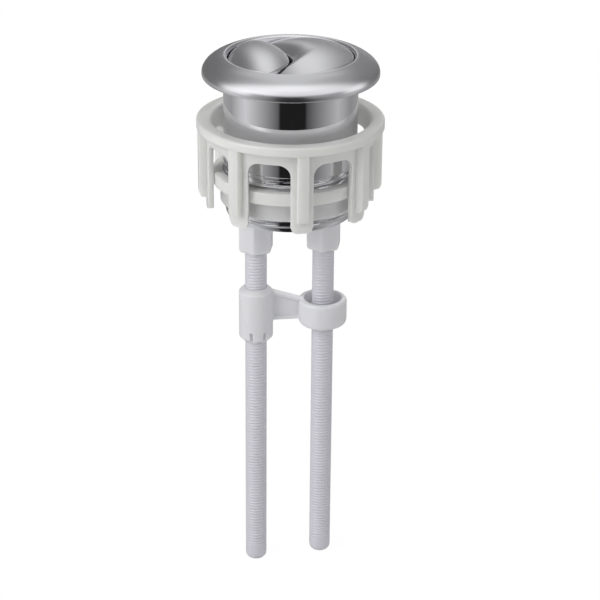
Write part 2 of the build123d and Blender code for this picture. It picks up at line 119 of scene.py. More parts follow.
class Finish:
    """A material, or the world, under construction."""

    def __init__(self, owner):
        owner.use_nodes = True
        self.owner = owner
        self.tree = owner.node_tree
        self.tree.nodes.clear()

    def node(self, kind, settings=None, inputs=None, output=0):
        """Adds a node, gives it its settings first and then its values or links."""
        made = self.tree.nodes.new(kind)
        for key, value in (settings or {}).items():
            if key == "stops":
                set_stops(made.color_ramp, value)
            else:
                setattr(made, key, value)
        for key, value in (inputs or {}).items():
            self.put(made.inputs[key], value)
        return Wire(self, made.outputs[output])

    def put(self, socket, value):
        if isinstance(value, Wire):
            self.tree.links.new(value.socket, socket)
        else:
            socket.default_value = value

    def done(self, shader, output="ShaderNodeOutputMaterial"):
        out = self.tree.nodes.new(output)
        self.put(out.inputs["Surface"], shader)
        return self.owner


def new_material(name):
    return Finish(bpy.data.materials.new(name))


def set_stops(ramp, stops):
    """Stops of a colour ramp as (position, colour) pairs."""
    while len(ramp.elements) > 1:
        ramp.elements.remove(ramp.elements[-1])
    ramp.elements[0].position, ramp.elements[0].color = stops[0]
    for position, colour in stops[1:]:
        ramp.elements.new(position).color = colour


print("shader helper ready")

# %% [markdown]
# The flange and the buttons are pearl chrome: bright, a little rough, with the very fine grain of
# the plating. The barrel is mirror chrome. Both are metals, so colour sits in Base Color and the
# difference is in Roughness. A faint noise in the roughness keeps the reflections from looking
# computed.

# %% Chrome finishes
CLOUD_SCALE = 60.0
GRAIN_DEPTH = 0.02 * MM


def noise(finish, scale, detail):
    """Solid noise on the piece's own coordinates."""
    place = finish.node("ShaderNodeTexCoord", output="Object")
    return finish.node(
        "ShaderNodeTexNoise",
        {"noise_dimensions": "3D"},
        {"Vector": place, "Scale": scale, "Detail": detail},
    )


def chrome(name, colour, rough, rough_change, grain_scale, bump_strength):
    finish = new_material(name)
    cloud = noise(finish, CLOUD_SCALE, 2.0)
    grain = noise(finish, grain_scale, 3.0)
    bump = finish.node(
        "ShaderNodeBump",
        {},
        {"Height": grain, "Strength": bump_strength, "Distance": GRAIN_DEPTH},
    )
    shader = finish.node(
        "ShaderNodeBsdfPrincipled",
        {},
        {
            "Base Color": (*colour, 1.0),
            "Metallic": 1.0,
            "Roughness": cloud * rough_change + (rough - rough_change / 2),
            "Normal": bump,
        },
    )
    return finish.done(shader)


satin_chrome = chrome("satin_chrome", (0.765, 0.765, 0.79), 0.26, 0.04, 9000.0, 0.10)
bright_chrome = chrome("bright_chrome", (0.80, 0.80, 0.83), 0.04, 0.015, 3000.0, 0.02)
steel = chrome("steel", (0.56, 0.55, 0.53), 0.32, 0.08, 6000.0, 0.15)
print("chrome finishes", satin_chrome.name, bright_chrome.name, steel.name)

# %% [markdown]
# The nut is natural plastic with a milky depth and hardly any colour; sleeves, rods and link are
# white plastic with a faint lavender cast. Subsurface scattering gives the milky depth, and a soft
# noise in colour and roughness stands for the flow of the moulding.

# %% Plastic finishes
FLOW_SCALE = 45.0
SKIN_SCALE = 1400.0
SKIN_DEPTH = 0.05 * MM
ROUGH_CHANGE = 0.10


def plastic(name, colour, shade, rough, depth, radius, coat):
    finish = new_material(name)
    flow = noise(finish, FLOW_SCALE, 3.0)
    skin = noise(finish, SKIN_SCALE, 2.0)
    tint = finish.node(
        "ShaderNodeMix",
        {"data_type": "RGBA"},
        {"Factor": flow, "A": (*colour, 1.0), "B": (*shade, 1.0)},
        output="Result",
    )
    bump = finish.node(
        "ShaderNodeBump", {}, {"Height": skin, "Strength": 0.12, "Distance": SKIN_DEPTH}
    )
    shader = finish.node(
        "ShaderNodeBsdfPrincipled",
        {"subsurface_method": "RANDOM_WALK"},
        {
            "Base Color": tint,
            "Roughness": flow * ROUGH_CHANGE + (rough - ROUGH_CHANGE / 2),
            "Subsurface Weight": depth,
            "Subsurface Radius": radius,
            "Subsurface Scale": MM,
            "Coat Weight": coat,
            "Coat Roughness": 0.12,
            "Normal": bump,
        },
    )
    return finish.done(shader)


milky_plastic = plastic(
    "milky_plastic", (0.80, 0.80, 0.785), (0.765, 0.765, 0.745), 0.32, 0.9, (5.0, 5.0, 4.6), 0.2
)
white_plastic = plastic(
    "white_plastic", (0.80, 0.80, 0.82), (0.76, 0.76, 0.79), 0.34, 0.7, (3.0, 3.0, 3.0), 0.1
)
rod_plastic = plastic(
    "rod_plastic", (0.72, 0.71, 0.77), (0.67, 0.66, 0.72), 0.36, 0.15, (1.0, 1.0, 1.0), 0.1
)
print("plastic finishes", milky_plastic.name, white_plastic.name, rod_plastic.name)

# %% [markdown]
# Each CAD node takes the finish that the record names for it. Nodes that a finer piece replaces
# further down take theirs there.

# %% Finishes on the CAD nodes
FINISHES = {
    "satin_chrome": satin_chrome,
    "bright_chrome": bright_chrome,
    "steel": steel,
    "milky_plastic": milky_plastic,
    "white_plastic": white_plastic,
    "rod_plastic": rod_plastic,
}
slots = {entry["node"]: entry["material_slot"] for entry in frame["record"]["subparts"]}
for node, item in frame["nodes"].items():
    item.data.materials.clear()
    item.data.materials.append(FINISHES[slots[node]])
print("dressed", len(slots), "nodes")

# %% [markdown]
# Every new piece starts the same way: all CAD nodes are deselected, one primitive is added, and its
# mesh is shaped in edit mode. At the end it is named, dressed and told which body carries it, and
# the
# CAD node it stands for is hidden. Turned pieces all come from one helper: a circle's points become
# the outline of the piece's wall, and the spin tool turns it once round the axis.

# %% Modelling helpers
DOUBLES_MERGE = 0.0005 * MM


def begin(primitive, **settings):
    """Adds a primitive with nothing else selected."""
    bpy.ops.object.select_all(action="DESELECT")
    primitive(**settings)
    return bpy.context.object


def alone(piece):
    """Selects one piece and nothing else."""
    bpy.ops.object.select_all(action="DESELECT")
    piece.select_set(True)
    bpy.context.view_layer.objects.active = piece


def edited(piece, *steps):
    """Runs edit-mode steps on a piece with all of it selected."""
    bpy.context.view_layer.objects.active = piece
    bpy.ops.object.mode_set(mode="EDIT")
    bpy.ops.mesh.select_all(action="SELECT")
    for step in steps:
        step()
    bpy.ops.object.mode_set(mode="OBJECT")


def tidy_mesh():
    """Merges doubles, removes loose edges and turns all faces outwards."""
    bpy.ops.mesh.remove_doubles(threshold=DOUBLES_MERGE)
    bpy.ops.mesh.delete_loose()
    bpy.ops.mesh.select_all(action="SELECT")
    bpy.ops.mesh.normals_make_consistent(inside=False)


def applied(piece, kind, **settings):
    """Adds a modifier and applies it."""
    alone(piece)
    modifier = piece.modifiers.new(kind.lower(), kind)
    for key, value in settings.items():
        setattr(modifier, key, value)
    bpy.ops.object.modifier_apply(modifier=modifier.name)


def bevelled(piece, width, segments, angle):
    """Rounds every edge that is sharper than an angle in degrees; the width is in millimetres."""
    applied(
        piece,
        "BEVEL",
        width=width * MM,
        segments=segments,
        limit_method="ANGLE",
        angle_limit=math.radians(angle),
    )


def finished(piece, name, finish, body, node, smooth=30.0):
    """Names and dresses a piece, and puts it in the place of its CAD node."""
    alone(piece)
    bpy.ops.object.transform_apply(location=True, rotation=True, scale=True)
    bpy.ops.object.shade_smooth_by_angle(angle=math.radians(smooth))
    piece.name = name
    piece.data.name = name
    piece.data.materials.clear()
    piece.data.materials.append(FINISHES[finish])
    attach(piece, body)
    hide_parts(node)
    print(name, "has", len(piece.data.polygons), "faces")
    return piece


def spun(outline, steps, x=0.0):
    """Solid turned about the upright axis at x, from (radius, height) pairs in millimetres."""
    piece = begin(bpy.ops.mesh.primitive_circle_add, vertices=len(outline), radius=1.0)
    for vertex, (radius, height) in zip(piece.data.vertices, outline):
        vertex.co = ((x + radius) * MM, 0.0, height * MM)
    centre = (x * MM, 0.0, 0.0)
    edited(
        piece,
        lambda: bpy.ops.mesh.spin(steps=steps, angle=math.tau, center=centre, axis=(0.0, 0.0, 1.0)),
        lambda: bpy.ops.mesh.select_all(action="SELECT"),
        tidy_mesh,
    )
    return piece


def arc(centre, radius, start, end, count):
    """Points of an arc in an outline, with angles in degrees from the outward direction."""
    points = []
    for index in range(count + 1):
        angle = math.radians(start + (end - start) * index / count)
        points.append((centre[0] + radius * math.cos(angle), centre[1] + radius * math.sin(angle)))
    return points


print("modelling helpers ready")

# %% [markdown]
# The flange is pressed and plated brass or plastic: an elliptical crown that runs from a small
# rounded foot up to the lip of the round opening. Reflections show every kink, so the crown comes
# from the ellipse's own formula with narrow bands near the foot, where it bends most.

# %% Flange
OPENING_R = 26.8
LIP_ROUND = 1.6
FLANGE_R = 37.5
CREST_R = 19.64
CREST_Z = 10.37
FOOT_R = 36.4
FOOT_H = 1.8
CROWN_STEPS = 40
FLANGE_TURN_STEPS = 256
FLANGE_INSIDE = [
    (OPENING_R, 2.2), (28.8, 2.2), (28.8, 6.4), (31.0, 6.4),
    (33.99, 4.6), (33.99, 2.2), (34.05, 2.2), (34.05, 0.0),
]


def crest_z(radius):
    """Height of the flange's crown in millimetres."""
    share = (radius - CREST_R) / (FLANGE_R - CREST_R)
    return FOOT_H + (CREST_Z - FOOT_H) * math.sqrt(max(0.0, 1.0 - share * share))


def flange_outline():
    lip_start = OPENING_R + LIP_ROUND
    last = math.acos((lip_start - CREST_R) / (FLANGE_R - CREST_R))
    crown = []
    for index in range(CROWN_STEPS + 1):
        radius = CREST_R + (FLANGE_R - CREST_R) * math.cos(last * index / CROWN_STEPS)
        crown.append((radius, crest_z(radius)))
    foot = arc((FOOT_R, FLANGE_R - FOOT_R), FLANGE_R - FOOT_R, -90, 0, 8)
    tiny = 0.01
    lip_tilt = math.degrees(math.atan2(crest_z(lip_start - tiny) - crest_z(lip_start), tiny))
    start = 90 - lip_tilt
    centre = (
        lip_start - LIP_ROUND * math.cos(math.radians(start)),
        crest_z(lip_start) - LIP_ROUND * math.sin(math.radians(start)),
    )
    lip = arc(centre, LIP_ROUND, start, 180, 14)[1:]
    shift = OPENING_R - lip[-1][0]
    lip = [(r + shift * i / len(lip), z) for i, (r, z) in enumerate(lip, 1)]
    return foot + crown + lip + FLANGE_INSIDE


flange = spun(flange_outline(), FLANGE_TURN_STEPS)
finished(flange, "flange", "satin_chrome", "housing", "bezel_ring")

# %% [markdown]
# The two buttons share the round opening. The small one is a leaf between two arcs with a crown
# that is round across it and flat along it; the large one fills the rest, and a valley is scooped
# into it beside the leaf. Such free shapes can't be extruded, so both caps are a net of points
# between their two outline arcs. A formula lifts the net to the crown and rounds its rim, and the
# same net, set in by the wall, makes the hollow inside.

# %% Button shapes
CAP_R = 26.4
CAP_WALL = 1.5
SKIRT_Z = 1.5
RIM_ROUND = 0.55
LEAF_R = 30.6
LEAF_X = -31.6
HOLLOW_R = 29.3
HOLLOW_X = -28.9
SMALL_CROWN = {"top": 10.9, "ridge_x": -13.0, "across": 24.0, "along": 130.0}
LARGE_CROWN = {"top": 11.05, "ridge_x": 9.0, "across": 60.0, "along": 140.0}
VALLEY_W = 11.0
VALLEY_SLOPE = 0.62
VALLEY_FRONT = 20.0
VALLEY_RUN = 24.0
VALLEY_BACK = 6.0
VALLEY_FADE = 20.0
ARC_STEPS = 150
CROWDING = 0.9
MIDDLE_STEPS = 22
RIM_STEPS = [0.0, 0.02, 0.06, 0.12, 0.2, 0.3, 0.42, 0.56, 0.75]
RIMS_PER_ROW = 2.6
CAP_MERGE = 0.002 * MM
CAP_SLIVER = 0.0005 * MM


def sag(radius, offset):
    """How far a circle has fallen at an offset from its top."""
    return radius - math.sqrt(radius * radius - offset * offset)


def crown(x, y, top, ridge_x, across, along):
    """Height of a crown with a ridge along y, from its top and its radii across and along."""
    return top - sag(along, y) - sag(across, x - ridge_x)


def small_crown(x, y):
    return crown(x, y, **SMALL_CROWN)


def large_crown(x, y):
    """The large button's crown, less the valley beside the leaf, which fades at both tips."""
    beside = math.hypot(x - HOLLOW_X, y) - HOLLOW_R
    rise = min(1.0, max(0.05, (y + VALLEY_FRONT) / VALLEY_RUN))
    width = VALLEY_W * rise * rise * (3.0 - 2.0 * rise)
    fade = max(0.0, 1.0 - max(0.0, (y - VALLEY_BACK) / VALLEY_FADE) ** 2)
    share = max(0.0, 1.0 - max(0.0, beside) / width)
    depth = VALLEY_SLOPE * width / 2.0 * fade
    return crown(x, y, **LARGE_CROWN) - depth * share * share


def tips(outer, other, other_x):
    """Where the outer circle meets a circle centred on the X axis at other_x."""
    x = (other_x * other_x + outer * outer - other * other) / (2.0 * other_x)
    return x, math.sqrt(outer * outer - x * x)


def arc_through(centre_x, radius, tip, side, share):
    """Point at a share of the way from the front tip to the back tip: side 1 right, -1 left."""
    start = math.atan2(-tip[1], tip[0] - centre_x)
    end = -start if side > 0 else -start - math.tau
    angle = start + (end - start) * share
    return centre_x + radius * math.cos(angle), radius * math.sin(angle)


def steps_across(length):
    """Shares from one arc to the other, close at both rims, and all closer in a short row."""
    scale = min(1.0, length / (RIMS_PER_ROW * RIM_STEPS[-1]))
    rim = [step * scale / length for step in RIM_STEPS]
    gap = (1.0 - 2.0 * rim[-1]) / MIDDLE_STEPS
    middle = [rim[-1] + gap * index for index in range(1, MIDDLE_STEPS)]
    return rim + middle + [1.0 - step for step in reversed(rim)]


def net(shape, inset):
    """Rows of points of a button's plan, from its front tip to its back tip."""
    outer = CAP_R - inset
    if shape == "leaf":
        side, other, other_x = -1, LEAF_R - inset, LEAF_X
    else:
        side, other, other_x = 1, HOLLOW_R + inset, HOLLOW_X
    tip = tips(outer, other, other_x)
    rows = []
    for index in range(ARC_STEPS + 1):
        even = index / ARC_STEPS
        crowded = (1.0 - math.cos(math.pi * even)) / 2.0
        share = even + CROWDING * (crowded - even)
        near = arc_through(0.0, outer, tip, side, share)
        far = arc_through(other_x, other, tip, 1, share)
        length = max(math.dist(near, far), 0.001)
        rows.append([
            (near[0] + (far[0] - near[0]) * step, near[1] + (far[1] - near[1]) * step)
            for step in steps_across(length)
        ])
    return rows


def rim_distance(shape, x, y):
    """Distance from a point to the button's nearest rim."""
    aside = math.hypot(x - (LEAF_X if shape == "leaf" else HOLLOW_X), y)
    inner = LEAF_R - aside if shape == "leaf" else aside - HOLLOW_R
    return max(0.0, min(CAP_R - math.hypot(x, y), inner))


def rim_drop(distance):
    """How far the rounded rim lies under the crown."""
    if distance >= RIM_ROUND:
        return 0.0
    return sag(RIM_ROUND, RIM_ROUND - distance)


def walls(mesh, first, second):
    """Closes the strip between two loops of as many points."""
    for index in range(len(first)):
        after = (index + 1) % len(first)
        mesh.faces.new((first[index], first[after], second[after], second[index]))


def button(shape, height):
    """Closed shell of one button cap, under a crown that is given as a function of x and y."""
    mesh = bmesh.new()
    skirts = []
    for inset in (0.0, CAP_WALL):
        grid = []
        for row in net(shape, inset):
            line = []
            for x, y in row:
                drop = CAP_WALL if inset else rim_drop(rim_distance(shape, x, y))
                line.append(mesh.verts.new((x * MM, y * MM, (height(x, y) - drop) * MM)))
            grid.append(line)
        for low, high in zip(grid, grid[1:]):
            for corners in zip(low, low[1:], high[1:], high):
                mesh.faces.new(corners)
        rim = [row[0] for row in grid] + [row[-1] for row in reversed(grid)]
        skirt = [mesh.verts.new((v.co.x, v.co.y, SKIRT_Z * MM)) for v in rim]
        walls(mesh, rim, skirt)
        skirts.append(skirt)
    walls(mesh, *skirts)
    bmesh.ops.remove_doubles(mesh, verts=mesh.verts, dist=CAP_MERGE)
    bmesh.ops.dissolve_degenerate(mesh, edges=mesh.edges, dist=CAP_SLIVER)
    bmesh.ops.recalc_face_normals(mesh, faces=mesh.faces)
    data = bpy.data.meshes.new(shape)
    mesh.to_mesh(data)
    open_edges = sum(1 for edge in mesh.edges if len(edge.link_faces) != 2)
    mesh.free()
    piece = bpy.data.objects.new(shape, data)
    bpy.context.scene.collection.objects.link(piece)
    print(shape, "has", open_edges, "open edges")
    return piece


small_cap = button("leaf", small_crown)
finished(small_cap, "small_cap", "satin_chrome", "small_push", "small_button", smooth=40.0)
large_cap = button("crescent", large_crown)
finished(large_cap, "large_cap", "satin_chrome", "large_push", "large_button", smooth=40.0)

# %% [markdown]
# The barrel is one turned tube with a collar hidden under the flange. Its upper part is plain and
# mirrors the studio; its lower part has a coarse right-hand thread. The wall is spun with narrow
# bands there, and each point then moves in or out by the thread's own profile at its angle and
# height, so that the ridges climb like a real thread and run out at both ends.

# %% Barrel
BARREL_R = 28.5
THREAD_ROOT_R = 27.6
THREAD_PITCH = 3.0
THREAD_LOW_Z = -58.2
THREAD_HIGH_Z = -35.4
THREAD_FOOT = 1.15
THREAD_FLANK = 0.7
THREAD_RUN = 1.2
THREAD_BAND = 0.2
BAND_MARGIN = 0.4
BARREL_TURN_STEPS = 240
BARREL_ABOVE = [(34.0, 2.2), (34.0, 0.0), (BARREL_R, 0.0), (BARREL_R, -10.0), (BARREL_R, -20.0)]
BARREL_BELOW = [
    (THREAD_ROOT_R, -59.4), (27.3, -60.0), (26.6, -60.0), (26.6, -56.0),
    (25.6, -56.0), (25.6, -27.0), (26.8, -27.0), (26.8, 2.2),
]


def thread_share(turn, height):
    """0 in the thread's groove and 1 on its crest."""
    phase = ((height - THREAD_LOW_Z) / THREAD_PITCH - turn) % 1.0
    away = abs(phase - 0.5) * THREAD_PITCH
    return min(1.0, max(0.0, (THREAD_FOOT - away) / THREAD_FLANK))


def barrel_radius(turn, height):
    """Outer radius of the barrel at a turn and a height in millimetres."""
    if height > THREAD_HIGH_Z:
        return BARREL_R
    if height < THREAD_LOW_Z:
        return THREAD_ROOT_R
    share = thread_share(turn, height)
    run_in = min(1.0, (height - THREAD_LOW_Z) / THREAD_RUN)
    run_out = min(1.0, (THREAD_HIGH_Z - height) / THREAD_RUN)
    radius = THREAD_ROOT_R + (BARREL_R - THREAD_ROOT_R) * share * run_in
    return radius * run_out + BARREL_R * (1.0 - run_out)


bands_top = THREAD_HIGH_Z + BAND_MARGIN
bands_bottom = THREAD_LOW_Z - BAND_MARGIN
band_count = round((bands_top - bands_bottom) / THREAD_BAND)
bands = [(BARREL_R, bands_top - index * THREAD_BAND) for index in range(band_count + 1)]
barrel = spun(BARREL_ABOVE + bands + BARREL_BELOW, BARREL_TURN_STEPS)
for vertex in barrel.data.vertices:
    height = vertex.co.z / MM
    radius = math.hypot(vertex.co.x, vertex.co.y) / MM
    in_bands = bands_bottom - THREAD_BAND / 2 < height < bands_top + THREAD_BAND / 2
    if in_bands and radius > BARREL_R - 0.5:
        turn = math.atan2(vertex.co.y, vertex.co.x) / math.tau
        scale = barrel_radius(turn, height) / radius
        vertex.co.x *= scale
        vertex.co.y *= scale
finished(barrel, "barrel", "bright_chrome", "housing", "threaded_barrel", smooth=35.0)

# %% [markdown]
# Each rod is moulded in two halves, so its fine thread shows only towards the front and the back,
# with smooth strips at the sides where the mould closed, and it stops short of the rounded tip. The
# rod is spun from many narrow bands, and the same kind of formula cuts the thread.

# %% Rods
ROD_X = 14.8
ROD_R = 4.75
ROD_TOP_Z = -58.0
TIP_ROUND = 2.8
ROD_PITCH = 1.42
ROD_THREAD_DEPTH = 0.36
ROD_BAND = 0.17
ROD_GROOVE_HALF = 0.40
ROD_FLANK = 0.24
THREAD_START = 7.8
THREAD_FADE = 0.8
BANDS_START = 0.8
ROD_TURN_STEPS = 72
SMOOTH_ANGLE = math.radians(32.0)
FADE_ANGLE = math.radians(20.0)


def rod_groove(angle, height, above):
    """Depth of a rod's thread as a share, at an angle, a height, and above the thread's start."""
    from_side = min(abs(angle), math.pi - abs(angle))
    share = min(1.0, max(0.0, (from_side - SMOOTH_ANGLE) / FADE_ANGLE))
    share = share * share * (3.0 - 2.0 * share) * min(1.0, above / THREAD_FADE)
    wave = (height / ROD_PITCH - angle / math.tau) % 1.0
    return share * min(1.0, max(0.0, (ROD_GROOVE_HALF - abs(wave - 0.5)) / ROD_FLANK))


def rod_piece(name, x, tip_z, body, node):
    """Threaded rod at x, from its tip up into its sleeve."""
    tip = arc((ROD_R - TIP_ROUND, tip_z + TIP_ROUND), TIP_ROUND, -90, 0, 8)
    first = tip_z + TIP_ROUND + BANDS_START
    count = int((ROD_TOP_Z - first) / ROD_BAND)
    bands = [(ROD_R, first + ROD_BAND * index) for index in range(count + 1)]
    outline = [(0.0, tip_z), *tip, *bands, (ROD_R, ROD_TOP_Z), (0.0, ROD_TOP_Z)]
    piece = spun(outline, ROD_TURN_STEPS, x)
    for vertex in piece.data.vertices:
        height = vertex.co.z / MM
        east = vertex.co.x / MM - x
        north = vertex.co.y / MM
        radius = math.hypot(east, north)
        above = height - tip_z - THREAD_START
        if radius < ROD_R - 0.01 or above < 0.0 or height > ROD_TOP_Z - 0.5:
            continue
        groove = rod_groove(math.atan2(north, east), height, above)
        scale = 1.0 - ROD_THREAD_DEPTH * groove / radius
        vertex.co.x = (x + east * scale) * MM
        vertex.co.y = north * scale * MM
    finished(piece, name, "rod_plastic", body, node, smooth=50.0)


rod_piece("small_push_rod", -ROD_X, -232.5, "small_rod_body", "small_rod")
rod_piece("large_push_rod", ROD_X, -230.4, "large_rod_body", "large_rod")

# %% [markdown]
# Under each button hangs a hexagonal sleeve that the rod screws into, and it doesn't turn because
# the guide plate's hole is hexagonal too. A six-sided cylinder gives the flats, its lower end is
# drawn in by an extrusion, a turned cutter opens the sockets, and a bevel breaks every edge as the
# mould does. The second sleeve is a copy.

# %% Sleeves
SLEEVE_TOP_Z = -34.2
SLEEVE_BOTTOM_Z = -78.7
SLEEVE_CORNER_R = 8.0
SLEEVE_CHAMFER = 1.1
SLEEVE_FOOT = 0.88
SLEEVE_TURN = math.radians(-75.0)
SOCKET_TURN_STEPS = 64
SOCKETS = [
    (0.0, -79.5), (4.85, -79.5), (4.85, -44.0), (1.95, -44.0),
    (1.95, -42.0), (4.45, -42.0), (4.45, -33.5), (0.0, -33.5),
]


def select_faces(piece, test):
    """Selects the faces whose centre and normal pass a test, in millimetres."""
    bpy.ops.mesh.select_all(action="DESELECT")
    bpy.ops.mesh.select_mode(type="FACE")
    mesh = bmesh.from_edit_mesh(piece.data)
    for face in mesh.faces:
        face.select_set(test(face.calc_center_median() / MM, face.normal))
    bmesh.update_edit_mesh(piece.data)


def cut(piece, cutter):
    """Takes a cutter out of a piece and removes the cutter."""
    applied(piece, "BOOLEAN", operation="DIFFERENCE", solver="EXACT", object=cutter)
    bpy.data.objects.remove(cutter, do_unlink=True)


body_bottom = SLEEVE_BOTTOM_Z + SLEEVE_CHAMFER
sleeve = begin(
    bpy.ops.mesh.primitive_cylinder_add,
    vertices=6,
    radius=SLEEVE_CORNER_R * MM,
    depth=(SLEEVE_TOP_Z - body_bottom) * MM,
    location=(-ROD_X * MM, 0.0, (SLEEVE_TOP_Z + body_bottom) / 2.0 * MM),
    rotation=(0.0, 0.0, SLEEVE_TURN),
)
bpy.ops.object.transform_apply(location=True, rotation=True, scale=True)
edited(
    sleeve,
    lambda: select_faces(sleeve, lambda centre, normal: normal.z < -0.9),
    lambda: bpy.ops.mesh.extrude_region_move(
        TRANSFORM_OT_translate={"value": (0.0, 0.0, -SLEEVE_CHAMFER * MM)}
    ),
    lambda: bpy.ops.transform.resize(
        value=(SLEEVE_FOOT, SLEEVE_FOOT, 1.0), center_override=(-ROD_X * MM, 0.0, 0.0)
    ),
)
cut(sleeve, spun(SOCKETS, SOCKET_TURN_STEPS, -ROD_X))
bevelled(sleeve, width=0.45, segments=3, angle=28.0)
twin = sleeve.copy()
twin.data = sleeve.data.copy()
bpy.context.scene.collection.objects.link(twin)
twin.location.x = 2.0 * ROD_X * MM
finished(sleeve, "left_sleeve", "white_plastic", "small_push", "small_sleeve", smooth=40.0)
finished(twin, "right_sleeve", "white_plastic", "large_push", "large_sleeve", smooth=40.0)

# %% [markdown]
# The link is one soft moulding: a collar that grips the left rod, a webbed arm, and a loose ring
# that guides the right rod. The two short grooves are cut into the collar's foot first. Then the
# closed forms are melted into one skin by a fine remesh and smoothed, which rounds the corners
# where they meet. The bores are cut last, so that they stay round and true.

# %% Rod link
LINK_COLLAR_R = 7.5
LINK_TOP_Z = -95.6
LINK_BOTTOM_Z = -121.4
LINK_CHAMFER = 2.3
COLLAR_BORE_R = 4.82
RING_R = 10.65
RING_LOW_ROUND = 2.5
RING_HIGH_ROUND = 1.3
RING_BORE_R = 8.4
BORE_OVERSHOOT = 1.5
RING_TOP_Z = -102.8
RING_BOTTOM_Z = -115.0
ARM_LEFT_TOP_Z = -95.8
ARM_BOTTOM_Z = -111.7
ARM_DEPTH = 4.4
RIB_HEIGHT = 1.3
WEB_DEPTH = 1.9
GROOVE_W = 1.4
GROOVE_X = 2.85
GROOVE_MIDDLE_X = 0.15 - ROD_X
GROOVE_Y = 9.8
GROOVE_REACH = 8.5
GROOVE_TOP_Z = -115.6
VOXEL = 0.33
LINK_TURN_STEPS = 96
COLLAR_BORE_STEPS = 72


def prism(corners, depth):
    """Upright plate from corners in the XZ plane, centred on the plane."""
    plate = begin(
        bpy.ops.mesh.primitive_circle_add, vertices=len(corners), radius=1.0, fill_type="NGON"
    )
    for vertex, (x, z) in zip(plate.data.vertices, corners):
        vertex.co = (x * MM, -depth / 2.0 * MM, z * MM)
    edited(
        plate,
        lambda: bpy.ops.mesh.extrude_region_move(
            TRANSFORM_OT_translate={"value": (0.0, depth * MM, 0.0)}
        ),
        lambda: bpy.ops.mesh.select_all(action="SELECT"),
        lambda: bpy.ops.mesh.normals_make_consistent(inside=False),
    )
    return plate


def bore(radius, low, high, steps, x):
    """Upright round cutter at x."""
    return spun([(0.0, low), (radius, low), (radius, high), (0.0, high)], steps, x)


def joined(first, *others):
    """Puts the meshes of several pieces into the first one."""
    alone(first)
    for other in others:
        other.select_set(True)
    bpy.ops.object.join()
    return first


collar_in = LINK_COLLAR_R - LINK_CHAMFER
collar = spun(
    [
        (0.0, LINK_BOTTOM_Z),
        (collar_in, LINK_BOTTOM_Z),
        (LINK_COLLAR_R, LINK_BOTTOM_Z + LINK_CHAMFER),
        (LINK_COLLAR_R, LINK_TOP_Z - LINK_CHAMFER),
        (collar_in, LINK_TOP_Z),
        (0.0, LINK_TOP_Z),
    ],
    LINK_TURN_STEPS,
    -ROD_X,
)
for side in (-1.0, 1.0):
    groove = begin(
        bpy.ops.mesh.primitive_cube_add,
        size=1.0,
        location=(
            (GROOVE_MIDDLE_X + side * GROOVE_X) * MM,
            -GROOVE_Y * MM,
            (GROOVE_TOP_Z - GROOVE_REACH / 2.0) * MM,
        ),
        scale=(GROOVE_W * MM, GROOVE_REACH * MM, GROOVE_REACH * MM),
    )
    cut(collar, groove)
low_middle = (RING_R - RING_LOW_ROUND, RING_BOTTOM_Z + RING_LOW_ROUND)
high_middle = (RING_R - RING_HIGH_ROUND, RING_TOP_Z - RING_HIGH_ROUND)
ring = spun(
    [(0.0, RING_BOTTOM_Z)]
    + arc(low_middle, RING_LOW_ROUND, -90, 0, 8)
    + arc(high_middle, RING_HIGH_ROUND, 0, 90, 6)
    + [(0.0, RING_TOP_Z)],
    LINK_TURN_STEPS,
    ROD_X,
)
ring_edge = ROD_X - RING_BORE_R
arm_top = [(-ROD_X, ARM_LEFT_TOP_Z), (ring_edge, RING_TOP_Z)]
arm_bottom = [(ring_edge, ARM_BOTTOM_Z), (-ROD_X, ARM_BOTTOM_Z)]
web = prism(arm_top + arm_bottom, WEB_DEPTH)
top_rib = prism(arm_top + [(x, z - RIB_HEIGHT) for x, z in reversed(arm_top)], ARM_DEPTH)
low_rib = prism([(x, z + RIB_HEIGHT) for x, z in reversed(arm_bottom)] + arm_bottom, ARM_DEPTH)
link = joined(collar, ring, web, top_rib, low_rib)
applied(link, "REMESH", mode="VOXEL", voxel_size=VOXEL * MM)
applied(link, "SMOOTH", factor=0.5, iterations=5)
for radius, low, high, steps, x in (
    (COLLAR_BORE_R, LINK_BOTTOM_Z, LINK_TOP_Z, COLLAR_BORE_STEPS, -ROD_X),
    (RING_BORE_R, RING_BOTTOM_Z, RING_TOP_Z, LINK_TURN_STEPS, ROD_X),
):
    cut(link, bore(radius, low - BORE_OVERSHOOT, high + BORE_OVERSHOOT, steps, x))
bevelled(link, width=0.22, segments=2, angle=50.0)
finished(link, "link", "white_plastic", "link_body", "rod_link", smooth=45.0)

# %% [markdown]
# The nut is the largest moulding: a broad clamping rim, eight ribbed legs and a threaded hub in
# their middle. Its form in the CAD model is already right, only its edges are too sharp for natural
# plastic, which never leaves the mould with a crisp corner. So the piece starts as a copy of the
# CAD mesh: its loose triangles are merged, flat areas become single faces, and a bevel rounds the
# edges.

# %% Lock nut
CAD_MERGE = 0.004 * MM
FLAT_ANGLE = math.radians(1.2)


def cad_copy(node):
    """Copy of a CAD node with its loose triangles joined up."""
    copy = frame["nodes"][node].copy()
    copy.data = copy.data.copy()
    bpy.context.scene.collection.objects.link(copy)
    edited(
        copy,
        lambda: bpy.ops.mesh.remove_doubles(threshold=CAD_MERGE),
        lambda: bpy.ops.mesh.normals_make_consistent(inside=False),
    )
    return copy


nut = cad_copy("lock_nut")
edited(nut, lambda: bpy.ops.mesh.dissolve_limited(angle_limit=FLAT_ANGLE))
bevelled(nut, width=0.5, segments=3, angle=32.0)
finished(nut, "cage_nut", "milky_plastic", "nut_body", "lock_nut", smooth=40.0)
